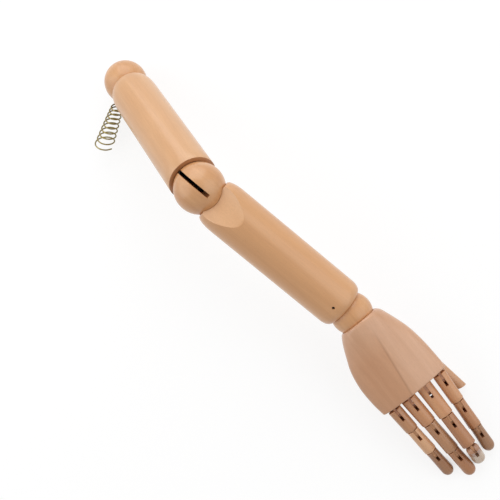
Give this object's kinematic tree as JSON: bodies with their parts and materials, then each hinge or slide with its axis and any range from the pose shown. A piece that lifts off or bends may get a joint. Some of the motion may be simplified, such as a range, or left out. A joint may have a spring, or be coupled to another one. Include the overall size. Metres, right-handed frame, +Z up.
{
  "type": "wooden mannequin arm",
  "caption": "Life-size jointed wooden lay-figure arm with turned ball joints, a sprung shoulder hook, a palm and folding fingers and thumb.",
  "frame": {"origin": "centre of the bounding box on the surface that the arm lies on", "axes": "+Z up, +X from the shoulder ball to the fingertips, +Y to the thumb side"},
  "size_m": [0.5558, 0.1202, 0.135],
  "materials": {
    "beech_arm": "satin lacquered beech",
    "beech_ball": "satin lacquered beech",
    "beech_hand": "satin lacquered beech, slightly redder",
    "beech_tongue": "matt wood",
    "brass_wire": "satin brass-plated wire",
    "steel": "plain steel"
  },
  "bodies": {
    "shoulder": {"shoulder_swivel": "steel", "shoulder_ball": "beech_ball", "shoulder_pin": "steel"},
    "shoulder_spring": {"shoulder_spring": "brass_wire"},
    "upper_arm": {"upper_arm": "beech_arm", "upper_arm_spring": "steel"},
    "elbow_hook": {"elbow_hook": "steel"},
    "elbow_ball": {"elbow_ball": "beech_ball", "elbow_pin": "steel", "elbow_swivel": "steel"},
    "forearm": {"forearm": "beech_arm", "forearm_nail": "steel", "forearm_spring": "steel"},
    "wrist_ball": {"wrist_ball": "beech_ball", "wrist_pin": "steel", "wrist_swivel": "steel"},
    "palm": {"index_knuckle_pin": "steel", "little_knuckle_pin": "steel", "middle_knuckle_pin": "steel", "palm": "beech_hand", "palm_hook": "steel", "ring_knuckle_pin": "steel", "thumb_root_pin": "steel", "thumb_root_tongue": "beech_tongue"},
    "index_proximal": {"index_proximal": "beech_hand", "index_proximal_pin": "steel", "index_proximal_tongue": "beech_tongue"},
    "index_middle": {"index_middle": "beech_hand", "index_middle_pin": "steel", "index_middle_tongue": "beech_tongue"},
    "index_distal": {"index_distal": "beech_hand"},
    "middle_proximal": {"middle_proximal": "beech_hand", "middle_proximal_pin": "steel", "middle_proximal_tongue": "beech_tongue"},
    "middle_middle": {"middle_middle": "beech_hand", "middle_middle_pin": "steel", "middle_middle_tongue": "beech_tongue"},
    "middle_distal": {"middle_distal": "beech_hand"},
    "ring_proximal": {"ring_proximal": "beech_hand", "ring_proximal_pin": "steel", "ring_proximal_tongue": "beech_tongue"},
    "ring_middle": {"ring_middle": "beech_hand", "ring_middle_pin": "steel", "ring_middle_tongue": "beech_tongue"},
    "ring_distal": {"ring_distal": "beech_hand"},
    "little_proximal": {"little_proximal": "beech_hand", "little_proximal_pin": "steel", "little_proximal_tongue": "beech_tongue"},
    "little_middle": {"little_middle": "beech_hand", "little_middle_pin": "steel", "little_middle_tongue": "beech_tongue"},
    "little_distal": {"little_distal": "beech_hand"},
    "thumb_base": {"thumb_base": "beech_hand", "thumb_base_pin": "steel", "thumb_base_tongue": "beech_tongue"},
    "thumb_proximal": {"thumb_proximal": "beech_hand", "thumb_proximal_pin": "steel", "thumb_proximal_tongue": "beech_tongue"},
    "thumb_distal": {"thumb_distal": "beech_hand"}
  },
  "joints": [
    {"name": "shoulder_swing", "type": "hinge", "parent": "shoulder", "child": "shoulder_spring", "pos_m": [-0.25493, 0.03713, 0.02316], "axis": [-0.4853, -0.2714, 0.8312], "range_deg": [-78, 3]},
    {"name": "upper_arm_twist", "type": "hinge", "parent": "shoulder", "child": "upper_arm", "pos_m": [-0.25493, 0.03713, 0.02316], "axis": [0.8741, -0.1754, 0.4531], "continuous": true},
    {"name": "elbow_sway", "type": "hinge", "parent": "upper_arm", "child": "elbow_hook", "pos_m": [-0.08684, 0.0034, 0.11028], "axis": [-0.4602, 0, 0.8878], "range_deg": [-22, 2], "deforming": ["upper_arm_spring"]},
    {"name": "elbow_flex", "type": "hinge", "parent": "elbow_hook", "child": "elbow_ball", "pos_m": [-0.08684, 0.0034, 0.11028], "axis": [0, 1, 0], "range_deg": [-116, 3]},
    {"name": "forearm_twist", "type": "hinge", "parent": "elbow_ball", "child": "forearm", "pos_m": [-0.08684, 0.0034, 0.11028], "axis": [0.9542, 0, -0.299], "continuous": true},
    {"name": "wrist_sway", "type": "hinge", "parent": "forearm", "child": "wrist_ball", "pos_m": [0.09246, 0.0034, 0.05409], "axis": [0.299, 0, 0.9542], "range_deg": [-6, 28], "deforming": ["forearm_spring"]},
    {"name": "wrist_flex", "type": "hinge", "parent": "wrist_ball", "child": "palm", "pos_m": [0.09246, 0.0034, 0.05409], "axis": [0.187, 0.9806, -0.0586], "range_deg": [-31, 49]},
    {"name": "index_knuckle", "type": "hinge", "parent": "palm", "child": "index_proximal", "pos_m": [0.19603, 0.01077, 0.03724], "axis": [0.2476, 0.9665, -0.0673], "range_deg": [-10.9, 27]},
    {"name": "index_middle_joint", "type": "hinge", "parent": "index_proximal", "child": "index_middle", "pos_m": [0.22528, 0.00256, 0.02695], "axis": [0.2476, 0.9665, -0.0673], "range_deg": [-4, 86]},
    {"name": "index_tip_joint", "type": "hinge", "parent": "index_middle", "child": "index_distal", "pos_m": [0.2534, -0.00549, 0.0147], "axis": [0.2476, 0.9665, -0.0673], "range_deg": [-4, 81]},
    {"name": "middle_knuckle", "type": "hinge", "parent": "palm", "child": "middle_proximal", "pos_m": [0.19334, -0.00727, 0.03821], "axis": [0.209, 0.976, -0.0618], "range_deg": [-0.2, 89.8]},
    {"name": "middle_middle_joint", "type": "hinge", "parent": "middle_proximal", "child": "middle_middle", "pos_m": [0.22694, -0.01478, 0.03324], "axis": [0.209, 0.976, -0.0618], "range_deg": [-3, 73]},
    {"name": "middle_tip_joint", "type": "hinge", "parent": "middle_middle", "child": "middle_distal", "pos_m": [0.26063, -0.02243, 0.02639], "axis": [0.209, 0.976, -0.0618], "range_deg": [-50, 35]},
    {"name": "ring_knuckle", "type": "hinge", "parent": "palm", "child": "ring_proximal", "pos_m": [0.18998, -0.02552, 0.03928], "axis": [0.1564, 0.9862, -0.0542], "range_deg": [-9.5, 80.5]},
    {"name": "ring_middle_joint", "type": "hinge", "parent": "ring_proximal", "child": "ring_middle", "pos_m": [0.21913, -0.03066, 0.02985], "axis": [0.1564, 0.9862, -0.0542], "range_deg": [-4, 67]},
    {"name": "ring_tip_joint", "type": "hinge", "parent": "ring_middle", "child": "ring_distal", "pos_m": [0.25197, -0.03659, 0.0166], "axis": [0.1564, 0.9862, -0.0542], "range_deg": [-6, 79]},
    {"name": "little_knuckle", "type": "hinge", "parent": "palm", "child": "little_proximal", "pos_m": [0.1859, -0.04179, 0.0404], "axis": [0.1496, 0.9873, -0.0532], "range_deg": [-13.4, 76.6]},
    {"name": "little_middle_joint", "type": "hinge", "parent": "little_proximal", "child": "little_middle", "pos_m": [0.21047, -0.04604, 0.03053], "axis": [0.1496, 0.9873, -0.0532], "range_deg": [-4, 60]},
    {"name": "little_tip_joint", "type": "hinge", "parent": "little_middle", "child": "little_distal", "pos_m": [0.23654, -0.05067, 0.01785], "axis": [0.1496, 0.9873, -0.0532], "range_deg": [-5, 80]},
    {"name": "thumb_swing", "type": "hinge", "parent": "palm", "child": "thumb_base", "pos_m": [0.1409, 0.01548, 0.03065], "axis": [0.3184, 0.0327, 0.9474], "range_deg": [0, 55]},
    {"name": "thumb_middle_joint", "type": "hinge", "parent": "thumb_base", "child": "thumb_proximal", "pos_m": [0.16362, 0.0157, 0.02301], "axis": [-0.019, 0.9994, -0.0281], "range_deg": [0, 75]},
    {"name": "thumb_tip_joint", "type": "hinge", "parent": "thumb_proximal", "child": "thumb_distal", "pos_m": [0.18637, 0.01591, 0.01536], "axis": [-0.019, 0.9994, -0.0281], "range_deg": [0, 80]}
  ]
}
